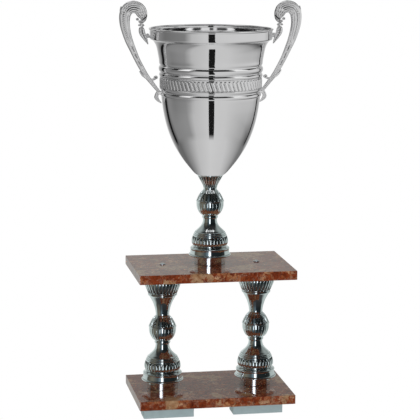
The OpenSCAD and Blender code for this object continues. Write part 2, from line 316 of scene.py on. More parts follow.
def add_world():
    """White behind the object, an even light on the stone, and nothing of its own in the metal."""
    world = bpy.data.worlds.new("studio")
    scene.world = world
    world.use_nodes = True
    g = Graph(world.node_tree)
    path = g.node("LightPath")
    lit = g.mix(path.outputs["Is Camera Ray"], (ROOM_LIGHT,) * 3, (1.0, 1.0, 1.0))
    seen = g.mix(path.outputs["Is Glossy Ray"], lit, (0.0, 0.0, 0.0))
    g.node("OutputWorld", Surface=g.node("Background", Color=seen, Strength=1.0))


def add_floor():
    mesh = bpy.data.meshes.new("floor")
    half = 12.0
    corners = [(-half, -half, 0), (half, -half, 0), (half, half, 0), (-half, half, 0)]
    mesh.from_pydata(corners, [], [(0, 1, 2, 3)])
    floor = bpy.data.objects.new("floor", mesh)
    scene.collection.objects.link(floor)
    material, g = new_material("floor_paper")
    g.node("OutputMaterial", Surface=g.node("Emission", Color=(1, 1, 1, 1), Strength=1.0))
    material.cycles.emission_sampling = "NONE"
    floor.data.materials.append(material)
    floor.visible_glossy = floor.visible_diffuse = False
    floor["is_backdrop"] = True


def add_sun(name, energy, spread, towards):
    """Soft light for the stone; the metal shows its surroundings instead."""
    data = bpy.data.lights.new(name, "SUN")
    data.energy = energy
    data.angle = math.radians(spread)
    light = bpy.data.objects.new(name, data)
    light.rotation_euler = (-towards).to_track_quat("-Z", "Y").to_euler()
    light.visible_glossy = False
    scene.collection.objects.link(light)


# ---------- materials ----------


def metre_coordinates(g):
    return g.node("TexCoord").outputs["Object"]


def scaled(g, coordinates, scale):
    return g.node("Mapping", Vector=coordinates, Scale=scale)


def noise(g, coordinates, scale, detail=4.0, roughness=0.5, distortion=0.0):
    return g.node("TexNoise", Vector=coordinates, Scale=scale, Detail=detail, Roughness=roughness,
                  Distortion=distortion)


def finish_material(g, colour, metallic, roughness, bumps=(), **extra):
    """Principled shader with its bump chain: (height, strength, distance in metres)."""
    normal = None
    for height, strength, distance in bumps:
        made = g.node("Bump", Height=height, Strength=strength, Distance=distance)
        if normal is not None:
            g.plug(normal, made.inputs["Normal"])
        normal = made.outputs[0]
    shader = g.node("BsdfPrincipled", Base_Color=colour, Metallic=metallic, Roughness=roughness, **extra)
    if normal is not None:
        g.plug(normal, shader.inputs["Normal"])
    g.node("OutputMaterial", Surface=shader)


def painted_shade_value(g):
    """Painted shade kept on the mesh: 1 on the high places of a casting and 0, painted dark, in its hollows.
    """
    return g.node("Attribute", {"attribute_name": "relief"}).outputs["Fac"]


def polished_silver(name, tint, rough, ring_strength):
    material, g = new_material(name)
    place = metre_coordinates(g)
    rings = noise(g, scaled(g, place, (6, 6, 2200)), 1.0, 3.0).outputs[0]
    smudge = noise(g, place, 26.0, 5.0, 0.6).outputs[0]
    smudged = g.ramp(smudge, [(0.35, (0, 0, 0)), (0.75, (1, 1, 1))])
    colour = g.mix(smudged, tint, tuple(0.965 * c for c in tint))
    roughness = g.node("MapRange", Value=smudge, To_Min=rough * 0.8, To_Max=rough * 1.3).outputs[0]
    finish_material(g, colour, 1.0, roughness, [(rings, ring_strength, 0.00003)])
    return material


def cast_metal(name, bright, dark, rough, grain):
    """Plated casting with painted shade: bright and smooth on its high places, painted dark and rough in its
    hollows.
    """
    material, g = new_material(name)
    place = metre_coordinates(g)
    relief = painted_shade_value(g)
    blotch = noise(g, place, 60.0, 5.0, 0.6).outputs[0]
    fine = noise(g, place, 900.0, 3.0, 0.6).outputs[0]
    # painted shade: dark where the kept level is low, in hollows and creases, mixed with random mottle
    shade_and_mottle = g.math("ADD", relief, g.math("MULTIPLY", g.math("SUBTRACT", blotch, 0.5), 0.35))
    colour = g.mix(g.ramp(shade_and_mottle, [(0.05, (0, 0, 0)), (0.6, (1, 1, 1))]), dark, bright)
    roughness = g.node("MapRange", Value=shade_and_mottle, To_Min=rough * 2.2, To_Max=rough).outputs[0]
    finish_material(g, colour, 1.0, roughness, [(fine, grain, 0.00005)])
    return material


def brushed_metal(name, tint, rough, stretch, metallic=1.0):
    material, g = new_material(name)
    place = metre_coordinates(g)
    lines = noise(g, scaled(g, place, stretch), 1.0, 3.0, 0.6).outputs[0]
    mottle = noise(g, place, 90.0, 4.0).outputs[0]
    colour = g.mix(mottle, tint, tuple(0.78 * c for c in tint))
    roughness = g.node("MapRange", Value=lines, To_Min=rough * 0.8, To_Max=rough * 1.3).outputs[0]
    finish_material(g, colour, metallic, roughness, [(lines, 0.35, 0.00004)])
    return material


STONE_SCALE = 125.0      # fragments of about 8 mm
STONE_WARP = 0.024       # how far their outlines are bent, in metres


def marble(name, shade):
    """Red breccia: tan and pink stone fragments in a red-brown ground, polished."""
    material, g = new_material(name)
    place = metre_coordinates(g)
    warp = noise(g, place, 85.0, 5.0, 0.65)
    bent = g.node("VectorMath", {"operation": "MULTIPLY_ADD"}, i0=warp.outputs["Color"], i1=(STONE_WARP,) * 3,
                  i2=place)
    cells = g.node("TexVoronoi", {"feature": "F1"}, Vector=bent, Scale=STONE_SCALE)
    edges = g.node("TexVoronoi", {"feature": "DISTANCE_TO_EDGE"}, Vector=bent, Scale=STONE_SCALE)
    chance = g.node("SeparateColor", i0=cells.outputs["Color"]).outputs[0]
    clast = g.ramp(chance, [(0.0, srgb(128, 58, 32)), (0.3, srgb(158, 78, 42)), (0.5, srgb(176, 106, 66)),
                            (0.7, srgb(196, 140, 98)), (0.86, srgb(208, 166, 130)),
                            (1.0, srgb(150, 92, 62))])
    ground = g.ramp(noise(g, place, 190.0, 6.0, 0.65).outputs[0],
                    [(0.3, srgb(84, 34, 20)), (0.55, srgb(142, 62, 32)), (0.75, srgb(170, 92, 54))])
    shards = g.ramp(edges.outputs["Distance"], [(0.03, (0, 0, 0)), (0.12, (1, 1, 1))])
    patchy = g.ramp(noise(g, place, 36.0, 5.0, 0.6).outputs[0], [(0.38, (0, 0, 0)), (0.58, (1, 1, 1))])
    colour = g.mix(g.math("MULTIPLY", shards, patchy), ground, clast)
    broad = g.ramp(noise(g, bent, 24.0, 5.0, 0.5, 0.5).outputs[0], [(0.58, (0, 0, 0)), (0.6, (1, 1, 1))])
    tan = g.ramp(noise(g, place, 120.0, 5.0, 0.6).outputs[0],
                 [(0.3, srgb(164, 118, 80)), (0.7, srgb(206, 174, 136))])
    colour = g.mix(g.math("MULTIPLY", broad, 0.85), colour, tan)
    cloud = g.ramp(noise(g, place, 420.0, 5.0, 0.7).outputs[0],
                   [(0.3, (0.72, 0.7, 0.68)), (0.7, (1.15, 1.12, 1.1))])
    colour = g.mix(1.0, colour, cloud, "MULTIPLY")
    vein = noise(g, bent, 46.0, 7.0, 0.62, 0.4).outputs[0]
    line = g.ramp(g.math("ABSOLUTE", g.math("SUBTRACT", vein, 0.5)), [(0.0, (1, 1, 1)), (0.012, (0, 0, 0))])
    colour = g.mix(g.math("MULTIPLY", line, 0.55), colour, srgb(214, 190, 166))
    dark = g.ramp(g.math("ABSOLUTE", g.math("SUBTRACT", noise(g, bent, 30.0, 6.0, 0.6).outputs[0], 0.47)),
                  [(0.0, (1, 1, 1)), (0.014, (0, 0, 0))])
    colour = g.mix(g.math("MULTIPLY", dark, 0.7), colour, srgb(66, 28, 20))
    colour = g.mix(1.0, colour, (shade, shade, shade), "MULTIPLY")
    wipe = noise(g, place, 55.0, 3.0).outputs[0]
    roughness = g.node("MapRange", Value=wipe, To_Min=0.05, To_Max=0.12).outputs[0]
    polish = noise(g, place, 800.0, 2.0).outputs[0]
    finish_material(g, colour, 0.0, roughness, [(polish, 0.03, 0.0001)], IOR=1.8)
    return material


SILVER = polished_silver("bowl_polish", (0.93, 0.93, 0.935), 0.045, 0.06)
BAND = cast_metal("band_relief", (0.97, 0.97, 0.975), (0.08, 0.08, 0.085), 0.09, 0.2)
HANDLE = cast_metal("handle_relief", (0.98, 0.98, 0.985), (0.16, 0.16, 0.165), 0.17, 0.3)
CASTING = cast_metal("casting_plating", (0.90, 0.94, 0.945), (0.22, 0.235, 0.23), 0.07, 0.12)
STEEL = brushed_metal("turned_steel", (0.66, 0.68, 0.70), 0.15, (400, 400, 3000))
FOOT = brushed_metal("foot_face", (0.50, 0.62, 0.64), 0.5, (60, 1800, 1800), 0.25)
MARBLE = marble("red_breccia", 0.84)
DISC = polished_silver("disc_plating", (0.80, 0.83, 0.83), 0.07, 0.3)

# ---------- meshes ----------


def add_mesh(name, verts, faces, material, relief=None, crease=35.0):
    mesh = bpy.data.meshes.new(name)
    mesh.from_pydata([tuple(v) for v in np.asarray(verts).tolist()], [], faces)
    mesh.polygons.foreach_set("use_smooth", [True] * len(mesh.polygons))
    mesh.set_sharp_from_angle(angle=math.radians(crease))
    # the level kept here is painted shade, read by the metal materials
    if relief is not None:
        layer = mesh.attributes.new("relief", "FLOAT", "POINT")
        layer.data.foreach_set("value", np.asarray(relief, np.float32))
    mesh.materials.append(material)
    mesh.update()
    obj = bpy.data.objects.new(name, mesh)
    scene.collection.objects.link(obj)
    return obj


def place_piece(obj, slot_name, *replaced):
    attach(obj, "root")
    if replaced:
        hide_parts(*replaced)
    return obj


def loop_faces(rows, columns, close_rows=False):
    """Quads over a grid of points that closes round its columns."""
    faces = []
    for i in range(rows if close_rows else rows - 1):
        a, b = i * columns, ((i + 1) % rows) * columns
        for j in range(columns):
            k = (j + 1) % columns
            faces.append((a + j, a + k, b + k, b + j))
    return faces


def smooth_line(points, steps):
    """A smooth line through the points, with a number of steps between two of them."""
    p = np.asarray(points, float)
    t = (np.arange(steps) / steps)[:, None]
    parts = []
    for i in range(len(p) - 1):
        a, b, c, d = p[max(i - 1, 0)], p[i], p[i + 1], p[min(i + 2, len(p) - 1)]
        parts.append(0.5 * (2 * b + (c - a) * t + (2 * a - 5 * b + 4 * c - d) * t ** 2
                            + (3 * b - a - 3 * c + d) * t ** 3))
    return np.vstack(parts + [p[-1:]])


def outline(runs, spacing):
    """Runs of [radius, height] points, each smooth in itself, joined at sharp corners."""
    parts = []
    for run in runs:
        line = smooth_line(run, 24)
        length = np.concatenate([[0], np.cumsum(np.linalg.norm(np.diff(line, axis=0), axis=1))])
        count = max(2, int(math.ceil(length[-1] / spacing)) + 1)
        at = np.linspace(0, length[-1], count)
        parts.append(np.column_stack([np.interp(at, length, line[:, k]) for k in (0, 1)]))
    joined = [parts[0]] + [p[1:] for p in parts[1:]]
    return np.vstack(joined)


def turned(name, line, bore, columns, material, relief=None, crease=35.0, centre=(0, 0), foot=0.0):
    """A closed turned piece with a bore. relief(angle, height) gives the cut below the outline
    in mm, and a painted shade level, 0 to 1, low in the hollows."""
    line = np.asarray(line, float)
    angle = np.arange(columns) * 2 * math.pi / columns
    across = np.gradient(line, axis=0)
    normal = np.column_stack([across[:, 1], -across[:, 0]])
    normal /= np.linalg.norm(normal, axis=1)[:, None]
    cut = np.zeros((len(line), columns))
    level = np.ones((len(line), columns))
    if relief is not None:
        cut, level = relief(angle[None, :], line[:, 1][:, None])
        cut = np.broadcast_to(cut, (len(line), columns))
        level = np.broadcast_to(level, (len(line), columns))
    radius = line[:, 0][:, None] - cut * normal[:, 0][:, None]
    height = line[:, 1][:, None] - cut * normal[:, 1][:, None]
    inner = [(bore, line[-1, 1]), (bore, line[0, 1])]
    radius = np.vstack([radius] + [np.full((1, columns), r) for r, _ in inner])
    height = np.vstack([height] + [np.full((1, columns), h) for _, h in inner])
    level = np.vstack([level, np.ones((2, columns))])
    x = centre[0] + radius * MM * np.cos(angle)
    y = centre[1] + radius * MM * np.sin(angle)
    verts = np.stack([x, y, foot + height * MM], axis=-1).reshape(-1, 3)
    faces = loop_faces(len(radius), columns, close_rows=True)
    return add_mesh(name, verts, faces, material, level.ravel(), crease)


def lobes(across, along, foot=0.16, arch=0.55):
    """Height of a rounded lobe: round at its foot, a pointed arch at its top."""
    v = np.clip(along, 0, 1)
    half = np.where(v < foot, np.sqrt(np.clip(1 - (1 - v / foot) ** 2, 0, 1)), 1.0)
    half = np.where(v > arch, np.clip(1 - ((v - arch) / (1 - arch)) ** 1.7, 0, 1), half)
    return np.sqrt(np.clip(1 - (across / np.maximum(half, 1e-3)) ** 2, 0, 1))


def notch(x, centre, width):
    """1 at the centre, fading to 0 on both sides."""
    return np.exp(-((x - centre) / width) ** 2)


def wave(angle, count):
    """Place across each of count equal sectors, -1 to 1."""
    turn = angle * count / (2 * math.pi)
    return 2 * (turn - np.floor(turn)) - 1


def ramp01(x, low, high):
    t = np.clip((x - low) / (high - low), 0, 1)
    return t * t * (3 - 2 * t)


def window(x, low, high, soft):
    return ramp01(x, low - soft, low + soft) * (1 - ramp01(x, high - soft, high + soft))


# ---------- castings ----------

# Outlines in mm: the radius, and the height above each piece's own foot
BELL_RUNS = [
    [[34.3, 0], [34.95, 0.7], [35, 1.7], [34.3, 2.7]],
    [[34.3, 2.7], [33.3, 3.0], [32.7, 3.9], [32.4, 6], [32.0, 9.2], [32.1, 11.0]],
    [[32.1, 11.0], [32.6, 11.8], [32.3, 13.0], [31.2, 13.9]],
    [[31.2, 13.9], [28.8, 14.2], [27.0, 14.9], [26.4, 16.2]],
    [[26.4, 16.2], [28.6, 18.2], [30.0, 21.2], [30.4, 24.2], [30.0, 27.6], [28.9, 31.0], [27.8, 33.2]],
    [[27.8, 33.2], [27.9, 34.2], [27.3, 35.2], [26.6, 35.5]],
    [[26.6, 35.5], [26.8, 36.4], [26.3, 37.4], [25.5, 37.8]],
    [[25.5, 37.8], [25.6, 38.8], [25.0, 39.9], [24.0, 40.4]],
    [[24.0, 40.4], [22.2, 42.4], [18.8, 45.5], [15.6, 49], [13.3, 52.6], [11.9, 56.5], [11.5, 60],
     [11.7, 62.4]],
    [[11.7, 62.4], [12.8, 63.2], [13.2, 64.9], [12.9, 66.2], [12.6, 67]],
]
KNOP_RUNS = [
    [[12.6, 0], [17.2, 4], [20.2, 9], [22, 14.5], [22.5, 20], [22.3, 23.4]],
    [[22.3, 23.4], [23.0, 23.9], [23.1, 24.8], [22.5, 25.7]],
    [[22.5, 25.7], [21.6, 28], [19.4, 32.6], [16.4, 37.6], [12.4, 42.2], [11, 44]],
]
COLLAR_RUNS = [
    [[11, 0], [11.4, 3.8], [12.8, 8], [15.4, 13], [18.6, 18.6], [21.2, 23.4]],
    [[21.2, 23.4], [21.8, 23.7], [21.8, 24.5]],
]
CAPITAL_RUNS = [
    [[11.1, 0], [11.4, 3.6], [12.2, 8.8], [13.6, 14], [16, 21], [19.8, 28.4], [22.6, 33.2]],
    [[22.6, 33.2], [23.8, 33.9], [24.3, 35.2], [23.9, 36.4]],
    [[23.9, 36.4], [23.6, 37.2], [25.0, 39.4], [27.6, 45.6], [29.8, 51.4], [30.6, 56], [29.9, 59.8]],
    [[29.9, 59.8], [31.0, 60.6], [31.8, 62.6], [32.6, 66], [33.2, 70]],
]
FLUTES, PETALS, CELLS = 28, 20, 24        # round the bell and the capital, the knop, the collar
CAST_SPACING = 0.45                       # of the outlines' points
CAST_BORE, ROD_BORE = 3.6, 3.4            # round the rods: in the castings, and elsewhere


def bell_relief(angle, height):
    lobe = lobes(wave(angle, FLUTES), (height - 17.0) / 15.6) ** 0.85
    here = window(height, 17.0, 32.6, 0.25)
    cut = 1.3 * (1 - lobe) * here
    # level is painted shade: dark between the lobes, on the waist below them, and in the creases at the foot
    # and between the rings
    level = 1 - 0.7 * here * (1 - lobe)
    level = level * (1 - 0.75 * window(height, 14.4, 16.6, 0.5))
    for z in (35.5, 37.8, 40.4, 2.9):
        level = level * (1 - 0.7 * notch(height, z, 0.35))
    return cut, level


def knop_relief(angle, height):
    across = wave(angle, PETALS)
    climb = (height - 26.6) / 15.5
    wedge = np.clip(1 - np.abs(across) / np.clip(0.46 - 0.12 * climb, 0.1, 1), 0, 1)
    upper = window(height, 26.4, 41.4, 0.6) * ramp01(wedge, 0.0, 0.6)
    petal = np.sqrt(np.clip(1 - across ** 2, 0, 1))
    lower = window(height, 4.0, 22.6, 1.6) * (1 - petal)
    cut = 1.1 * upper + 0.42 * lower
    # painted shade: dark in the wedge cuts, between the lower petals and in the crease at the middle
    level = (1 - 0.95 * upper) * (1 - 0.35 * lower)
    return cut, level * (1 - 0.6 * notch(height, 23.3, 0.4))


def collar_relief(angle, height):
    across = wave(angle, CELLS)
    climb = np.clip((height - 2.0) / 21.0, 0, 1)
    flute = np.clip(1 - np.abs(across) / 0.8, 0, 1)
    depth = window(height, 3.0, 22.4, 0.8) * ramp01(flute, 0.0, 0.7) * (0.35 + 0.65 * climb)
    cell = window(height, 16.0, 22.6, 0.8) * ramp01(flute, 0.25, 0.6)
    # the level is painted shade, dark in the flutes and their cells
    return 0.8 * depth + 0.5 * cell, (1 - 0.6 * depth) * (1 - 0.8 * cell)


def capital_relief(angle, height):
    lobe = lobes(wave(angle, FLUTES), (58.8 - height) / 21.0, 0.14, 0.5) ** 0.7
    here = window(height, 37.8, 58.8, 0.25)
    # level is painted shade: dark between the lobes and in the creases above and below them
    level = 1 - 0.75 * here * (1 - lobe)
    level = level * (1 - 0.75 * notch(height, 36.8, 0.6)) * (1 - 0.75 * notch(height, 59.9, 0.5))
    return 1.3 * (1 - lobe) * here, level


def axis_of(node):
    low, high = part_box(node)
    return ((low.x + high.x) / 2, (low.y + high.y) / 2), low.z


CASTINGS = {"bell": (BELL_RUNS, FLUTES * 20, bell_relief), "knop": (KNOP_RUNS, PETALS * 24, knop_relief),
            "capital": (CAPITAL_RUNS, FLUTES * 20, capital_relief),
            "collar": (COLLAR_RUNS, CELLS * 20, collar_relief)}
STACKS = {"riser": ("bell", "knop", "collar"), "column_left": ("bell", "knop", "capital"),
          "column_right": ("bell", "knop", "capital")}
chrome_pieces = []
for stack, kinds in STACKS.items():
    for kind in kinds:
        runs, columns, relief = CASTINGS[kind]
        node = f"{stack}_{kind}"
        centre, foot = axis_of(node)
        piece = turned(f"{stack}_{kind}_cast", outline(runs, CAST_SPACING), CAST_BORE, columns,
                       CASTING, relief, 50.0, centre, foot)
        place_piece(piece, "column_chrome", node)
        chrome_pieces.append(piece)

# ---------- stone ----------


def bevelled_block(name, low, high, bevel, material):
    bpy.ops.mesh.primitive_cube_add(size=1, location=(low + high) / 2)
    block = bpy.context.object
    block.name = block.data.name = name
    block.scale = high - low
    bpy.ops.object.transform_apply(location=True, rotation=False, scale=True)
    edge = block.modifiers.new("edge", "BEVEL")
    edge.width = bevel
    edge.segments = 3
    block.data.materials.append(material)
    return block


FLAT_CREASE = math.radians(12)     # small, so that a bevel bends no flat face's shading
STONE_BEVEL, FOOT_BEVEL = 0.7 * MM, 0.5 * MM


def bake_modifiers(obj):
    done = bpy.data.meshes.new_from_object(obj.evaluated_get(bpy.context.evaluated_depsgraph_get()))
    obj.modifiers.clear()
    obj.data = done
    done.polygons.foreach_set("use_smooth", [True] * len(done.polygons))
    done.set_sharp_from_angle(angle=FLAT_CREASE)


def cut_hole(block, centre, radius, low, high):
    """Cut an upright hole between two heights, and return its cutter."""
    bpy.ops.mesh.primitive_cylinder_add(vertices=96, radius=radius, depth=high - low,
                                        location=(*centre, (low + high) / 2))
    cutter = bpy.context.object
    hole = block.modifiers.new("hole", "BOOLEAN")
    hole.operation = "DIFFERENCE"
    hole.solver = "EXACT"
    hole.object = cutter
    return cutter


ROD_HOLE, CAP_HOLE, RECESS, RECESS_DEPTH = ROD_BORE * MM, 4.2 * MM, 9 * MM, 8.5 * MM
PAST = 0.01              # how far a cutter runs past the stone
column_centres = [axis_of("column_left_rod")[0], axis_of("column_right_rod")[0]]
riser_centre = axis_of("riser_rod")[0]


def stone_slab(node, nut_centres, cap_centres):
    """A plate with a counterbored hole for each nut and a plain one for each cap nut."""
    low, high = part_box(node)
    slab = bevelled_block(node + "_stone", low, high, STONE_BEVEL, MARBLE)
    cutters = []
    for centre in nut_centres:
        cutters.append(cut_hole(slab, centre, ROD_HOLE, low.z - PAST, high.z + PAST))
        cutters.append(cut_hole(slab, centre, RECESS, low.z - PAST, low.z + RECESS_DEPTH))
    for centre in cap_centres:
        cutters.append(cut_hole(slab, centre, CAP_HOLE, low.z - PAST, high.z + PAST))
    bake_modifiers(slab)
    for cutter in cutters:
        bpy.data.objects.remove(cutter)
    return place_piece(slab, "marble", node)


stone_pieces = [stone_slab("lower_plate", column_centres, []),
                stone_slab("upper_plate", [riser_centre], column_centres)]


def plated_disc(stack):
    node = stack + "_plinth"
    low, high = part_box(node)
    centre, foot = axis_of(node)
    r, h, c = (high.x - low.x) / 2 / MM, (high.z - low.z) / MM, 0.5
    line = outline([[[r - c, 0], [r - 0.15, 0.15], [r, c]], [[r, c], [r, h - c]],
                    [[r, h - c], [r - 0.15, h - 0.15], [r - c, h]]], 0.6)
    disc = turned(f"{stack}_foot_disc", line, ROD_BORE, 192, DISC, centre=centre, foot=foot)
    return place_piece(disc, "column_chrome", node)


discs = [plated_disc(stack) for stack in ("column_left", "column_right", "riser")]

foot_pieces = []
for side in ("front_left", "front_right", "rear_left", "rear_right"):
    low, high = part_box("foot_" + side)
    block = bevelled_block(f"foot_block_{side}", low, high, FOOT_BEVEL, FOOT)
    bake_modifiers(block)
    place_piece(block, "foot_pad", "foot_" + side)
    foot_pieces.append(block)

# ---------- bowl ----------

bowl_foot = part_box("bowl")[0].z
WALL = 1.2
BOWL_RUNS = [
    [[22, 0], [26, 2.8], [32, 9.4], [45.3, 26.3], [58, 46.3], [67, 66.3], [73.4, 86.2], [77.7, 106.1],
     [80.3, 124.5], [80.9, 130.6]],
    [[80.9, 130.6], [82.0, 131.4], [82.6, 133.2], [82.3, 135.2], [81.4, 136.8], [80.2, 138.0]],
    [[80.2, 138.0], [81.2, 139.0], [82.4, 141.0], [82.6, 142.4]],
    [[82.6, 142.4], [82.6, 162.6]],
    [[82.6, 162.6], [83.9, 163.4], [84.5, 165.0], [84.2, 167.0], [83.3, 168.6], [82.2, 169.6]],
    [[82.2, 169.6], [83.7, 170.6], [84.9, 172.8], [85.3, 175.4], [84.8, 178.0], [83.7, 179.9],
     [82.3, 181.0]],
    [[82.3, 181.0], [83.7, 182.2], [84.5, 184.6], [85, 190], [86.4, 198], [88.4, 208], [90.7, 214.6],
     [94.4, 220.2], [97.6, 222.6]],
    [[97.6, 222.6], [99.2, 223.2], [99.9, 224.6], [100, 226]],
    [[100, 226], [100, 237.4]],
]
BELLY, FLARE = BOWL_RUNS[0], BOWL_RUNS[6][2:]
INSIDE = BELLY + [[81.6, 136], [82, 150], [82.6, 166], [84, 176], [84.4, 184]] + FLARE + [
    [99.4, 225], [100, 228], [100, 237]]      # the wall's outer face without its mouldings
BEAD_R, BEAD_AT = 1.65, (99.95, 239.45)
BOWL_COLUMNS = 288


def offset_inwards(line, amount):
    along = np.gradient(line, axis=0)
    normal = np.column_stack([-along[:, 1], along[:, 0]])
    return line + amount * normal / np.linalg.norm(normal, axis=1)[:, None]


def spun_bowl():
    outer = outline(BOWL_RUNS, 0.8)
    bead = [(BEAD_AT[0] + BEAD_R * math.cos(a), BEAD_AT[1] + BEAD_R * math.sin(a))
            for a in np.linspace(-1.2, math.pi + 1.0, 22)]
    inner = offset_inwards(outline([INSIDE], 1.5), WALL)
    inner = inner[inner[:, 1] > WALL]
    hub = [[inner[0, 0] - 1.5, WALL], [ROD_BORE, WALL], [ROD_BORE, 0]]
    section = np.vstack([outer, bead, inner[::-1], hub])
    radius = section[:, 0][:, None] * MM
    height = bowl_foot + section[:, 1][:, None] * MM
    angle = np.arange(BOWL_COLUMNS) * 2 * math.pi / BOWL_COLUMNS
    verts = np.stack([radius * np.cos(angle), radius * np.sin(angle),
                      np.broadcast_to(height, (len(section), BOWL_COLUMNS))], axis=-1)
    faces = loop_faces(len(section), BOWL_COLUMNS, close_rows=True)
    return add_mesh("spun_bowl", verts.reshape(-1, 3), faces, SILVER, crease=38.0)


bowl = spun_bowl()
place_piece(bowl, "bowl_silver", "bowl")

# ---------- ornamental band ----------

band_low, band_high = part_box("ornamental_band")
BAND_H = (band_high.z - band_low.z) / MM
RIBS, SEAT, LEAN = 72, 82.7, 0.36        # how many, the strip's inner radius, and their slant


def band_relief(angle, height):
    lean = LEAN * (height - BAND_H / 2) / band_r
    across = wave(angle + lean, RIBS)
    end = np.clip(np.minimum(height - 2.4, BAND_H - 1.9 - height) / 1.8, 0, 1)
    half = 0.74 * np.sqrt(np.clip(1 - (1 - end) ** 2, 0, 1))
    rib = np.sqrt(np.clip(1 - (across / np.maximum(half, 1e-3)) ** 2, 0, 1)) * (end > 0)
    field = window(height, 1.7, BAND_H - 1.5, 0.25)
    dots = notch(across, 0, 0.62) * notch(height, BAND_H - 2.2, 0.95)
    line = notch(height, 1.1, 0.28)
    cut = 1.2 * field * (1 - rib) + 0.75 * dots + 0.3 * line
    # level is painted shade: dark between the ribs, in the dots and along the line near the foot
    level = (1 - 0.62 * field * (1 - rib)) * (1 - dots) * (1 - 0.4 * line)
    return cut, level


band_r = (band_high.x - band_low.x) / 2 / MM
band_line = outline([[[band_r - 0.35, 0], [band_r - 0.1, 0.1], [band_r, 0.35]],
                     [[band_r, 0.35], [band_r, BAND_H - 0.35]],
                     [[band_r, BAND_H - 0.35], [band_r - 0.1, BAND_H - 0.1], [band_r - 0.35, BAND_H]]], 0.3)
band = turned("ribbed_band", band_line, SEAT, RIBS * 16, BAND, band_relief, 60.0, (0, 0), band_low.z)
place_piece(band, "bowl_silver", "ornamental_band")

# ---------- handles ----------

ARM = [[85.6, 137.6], [95.5, 150], [105, 162.2], [113.6, 176], [121.8, 191.4], [129, 207.6], [135.2, 222.4],
       [139.8, 238], [141.9, 251], [141, 264], [135.8, 272.6], [127.4, 275.4], [118.6, 272.4], [113.6, 264.4],
       [111.6, 256.6], [113.4, 249.6]]
ARM_WIDTH = [5, 6.4, 7.6, 8.6, 9.2, 10.8, 12.8, 14.8, 16.8, 18.8, 19.8, 20, 19.4, 17.6, 11, 3]
LEAF = [[113.9, 243.4], [114.3, 239.6], [113.2, 233.4], [109.8, 226.8], [106.8, 221.4], [103.8, 215.4]]
LEAF_WIDTH = [5.6, 9.4, 9.8, 7.6, 5.2, 1.4]
TAIL = [[86.2, 139], [89.2, 134], [90, 128.6], [86.6, 123.6], [81.8, 119.6]]
TAIL_WIDTH = [5, 6, 6.4, 4.4, 1.4]
SIDE_CURL = [[100.6, 157.6], [95.6, 158], [90.8, 160.8]]
SIDE_CURL_WIDTH = [4.6, 3.8, 4.6]


class Solid:
    """Closed meshes gathered into one piece; points are [from the axis, depth, height] in mm."""

    def __init__(self):
        self.verts, self.faces, self.level, self.count = [], [], [], 0

    def add(self, verts, faces, level):
        verts = np.asarray(verts, float).reshape(-1, 3)
        self.faces += [tuple(i + self.count for i in f) for f in faces]
        self.verts.append(verts)
        self.level.append(np.broadcast_to(np.asarray(level, float).ravel(), len(verts)))
        self.count += len(verts)

    def ribbon(self, path, width, depth, relief, steps, around, square=0.72):
        """A cast strap along a line: rounded section, with relief(place, across, length) on
        both faces, which gives its height and its painted shade. place counts the path's points."""
        line = smooth_line(path, steps)
        w = np.maximum(smooth_line([[v, 0] for v in width], steps)[:, 0], 0.3)
        d = smooth_line([[v, 0] for v in depth], steps)[:, 0]
        along = np.gradient(line, axis=0)
        along /= np.linalg.norm(along, axis=1)[:, None]
        left = np.column_stack([-along[:, 1], along[:, 0]])
        place = np.arange(len(line)) / steps
        length = np.concatenate([[0], np.cumsum(np.linalg.norm(np.diff(line, axis=0), axis=1))])
        turn = np.arange(around) * 2 * math.pi / around
        s, c = np.sin(turn), np.cos(turn)
        across = np.sign(s) * np.abs(s) ** square
        out = np.sign(c) * np.abs(c) ** square
        face = np.clip(np.abs(out) * 1.6, 0, 1)
        height = np.zeros((len(line), around))
        level = np.ones((len(line), around))
        if relief is not None:
            height, level = relief(place[:, None], across[None, :], length[:, None])
        thick = np.abs(out)[None, :] * d[:, None] + height * face[None, :]
        deep = np.sign(out)[None, :] * np.maximum(thick, 0.0)
        side = across[None, :] * w[:, None] / 2
        verts = np.stack([line[:, 0][:, None] + side * left[:, 0][:, None], deep,
                          line[:, 1][:, None] + side * left[:, 1][:, None]], axis=-1)
        rows = len(line)
        faces = loop_faces(rows, around)
        caps = []
        for row, step in ((0, -1), (rows - 1, 1)):
            centre = np.array([line[row, 0], 0, line[row, 1]]) + step * min(w[row] * 0.3, 2.0) * np.array(
                [along[row, 0], 0, along[row, 1]])
            caps.append(centre)
            tip, first = rows * around + len(caps) - 1, row * around
            for j in range(around):
                k = (j + 1) % around
                faces.append((tip, first + k, first + j) if step < 0 else (tip, first + j, first + k))
        level = np.broadcast_to(level, (rows, around)).ravel()
        self.add(np.vstack([verts.reshape(-1, 3), caps]), faces, np.concatenate([level, [1, 1]]))

    def ball(self, centre, radii, tilt=0.0, dimple=0.0):
        """A rounded boss, tilted in the plane of the handle."""
        rings, around = 18, 28
        polar = np.linspace(0, math.pi, rings + 1)[1:-1]
        turn = np.arange(around) * 2 * math.pi / around
        wide, deep = np.sin(polar)[:, None], np.broadcast_to(np.cos(polar)[:, None], (rings - 1, around))
        p = np.stack([wide * np.cos(turn), deep, wide * np.sin(turn)], axis=-1).reshape(-1, 3)
        p = np.vstack([p, [[0, 1, 0], [0, -1, 0]]])
        # painted shade in the dimples at both ends
        level = 1 - 0.9 * notch(np.abs(p[:, 1]), 1, 0.16) * (dimple > 0)
        p = p * np.array(radii) * (1 - dimple * notch(np.abs(p[:, 1:2]), 1, 0.14) * np.array([0, 1, 0]))
        c, s = math.cos(tilt), math.sin(tilt)
        p = np.column_stack([p[:, 0] * c - p[:, 2] * s, p[:, 1], p[:, 0] * s + p[:, 2] * c])
        p = p + np.array(centre)
        faces = [tuple(reversed(f)) for f in loop_faces(rings - 1, around)]
        top, bottom = (rings - 1) * around, (rings - 1) * around + 1
        last = (rings - 2) * around
        for j in range(around):
            k = (j + 1) % around
            faces.append((top, k, j))
            faces.append((bottom, last + j, last + k))
        self.add(p, faces, level)


def strand(x, count):
    return np.abs(np.sin(math.pi * count * x)) ** 0.7


